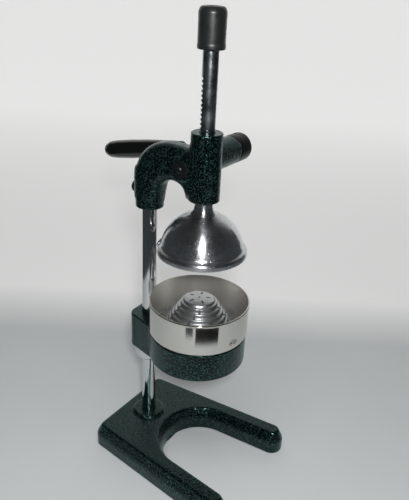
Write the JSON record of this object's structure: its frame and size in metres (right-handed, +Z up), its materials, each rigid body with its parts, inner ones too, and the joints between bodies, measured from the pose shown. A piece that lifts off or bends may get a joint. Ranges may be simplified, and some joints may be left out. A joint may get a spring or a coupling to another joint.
{
  "type": "lever citrus press",
  "caption": "Standing citrus press with a horseshoe base, a column, a strainer bowl, and a lever that drives a dome down by rack and pinion.",
  "frame": {"origin": "on the underside of the base, on the axis of the column, where the press stands on its table", "axes": "+Z up along the column, -Y to the front where the base's prongs point, +X to the side of the lever"},
  "size_m": [0.2077, 0.3491, 0.5897],
  "materials": {
    "cast_paint": "glossy dark green-black hammertone enamel on cast iron",
    "chrome": "bright chrome plate on round steel",
    "steel": "machined and polished steel",
    "stainless": "satin stainless steel, spun and pressed",
    "aluminium": "polished cast aluminium",
    "bronze": "plain sintered bronze",
    "black_steel": "black oxide steel",
    "grip_plastic": "glossy black moulded plastic",
    "cap_rubber": "satin black rubber"
  },
  "bodies": {
    "frame": {"base_casting": "cast_paint", "bowl_bracket": "cast_paint", "head_casting": "cast_paint", "column": "chrome", "support_collar": "steel", "juice_bowl": "stainless", "strainer_cone": "stainless", "shaft_bush_left": "bronze", "shaft_bush_inner": "bronze", "shaft_bush_outer": "bronze", "base_set_screw": "black_steel", "collar_set_screw": "black_steel", "bracket_clamp_screw": "black_steel", "head_clamp_screw": "black_steel"},
    "lever": {"pinion_gear": "steel", "lever_shaft": "steel", "pinion_key": "steel", "shaft_washer": "black_steel", "shaft_retaining_screw": "black_steel", "lever_hub": "cast_paint", "hub_cross_pin": "steel", "lever_rod": "chrome", "lever_lock_nut": "steel", "lever_grip": "grip_plastic"},
    "ram": {"ram_rack": "steel", "ram_cap": "cap_rubber", "press_dome": "aluminium", "dome_washer": "steel", "dome_screw": "steel"}
  },
  "joints": [
    {"name": "lever_swing", "type": "hinge", "parent": "frame", "child": "lever", "pos_m": [0, -0.0574, 0.4185], "axis": [1, 0, 0], "range_deg": [0, 279.9]},
    {"name": "ram_travel", "type": "slide", "parent": "frame", "child": "ram", "axis": [0, 0, -1], "range_m": [0, 0.086]}
  ],
  "couplings": [
    {"joint": "ram_travel", "follows": "lever_swing", "m_per_rad": 0.0176}
  ]
}
